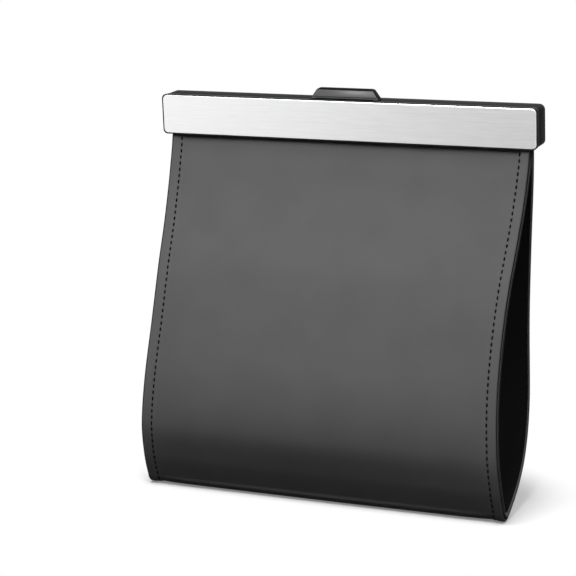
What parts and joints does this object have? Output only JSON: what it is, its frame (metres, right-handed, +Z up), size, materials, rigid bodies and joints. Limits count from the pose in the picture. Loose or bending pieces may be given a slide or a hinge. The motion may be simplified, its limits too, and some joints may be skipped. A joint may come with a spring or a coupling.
{
  "type": "car trash bin",
  "caption": "Hanging soft bin for a car: leather panels and folded cloth sides on two bars, with a brushed plate, and a mouth that swings open on the bottom fold.",
  "frame": {"origin": "centre of the rear bar's back face, which lies against what the bin hangs on", "axes": "+Z up, +Y to the rear out of the hanging face, +X to the right as seen from the front"},
  "size_m": [0.24, 0.0772, 0.2407],
  "materials": {
    "black_plastic": "satin black moulded plastic",
    "brushed_aluminium": "brushed along its length, clear anodised, bright bevelled edge",
    "bag_leather": "smooth fine-grained dark grey synthetic leather",
    "stiff_board": "plain stiffening board",
    "lining_cloth": "plain black lining",
    "gusset_cloth": "black woven cloth",
    "tape_film": "adhesive film",
    "strip_steel": "zinc plated strip",
    "magnet_nickel": "nickel plated",
    "screw_steel": "dark zinc plated",
    "rivet_aluminium": "plain"
  },
  "bodies": {
    "hanger": {"rear_bar": "black_plastic", "rear_clamp": "black_plastic", "rear_screws": "screw_steel", "magnet_left": "magnet_nickel", "magnet_centre": "magnet_nickel", "magnet_right": "magnet_nickel", "rear_leather": "bag_leather", "rear_board": "stiff_board", "rear_lining": "lining_cloth", "rear_binding_left": "bag_leather", "rear_binding_right": "bag_leather", "gusset_left": "gusset_cloth", "gusset_right": "gusset_cloth"},
    "jaw": {"front_bar": "black_plastic", "face_plate": "brushed_aluminium", "plate_tape": "tape_film", "pull_tab": "black_plastic", "striker_strip": "strip_steel", "front_rivets": "rivet_aluminium", "front_leather": "bag_leather", "front_board": "stiff_board", "front_lining": "lining_cloth", "front_binding_left": "bag_leather", "front_binding_right": "bag_leather"}
  },
  "joints": [
    {"name": "mouth", "type": "hinge", "parent": "hanger", "child": "jaw", "pos_m": [0, -0.06336, -0.21465], "axis": [1, 0, 0], "range_deg": [0, 20], "stiffness_Nm_per_rad": 0.3, "springref_deg": -2.86}
  ]
}
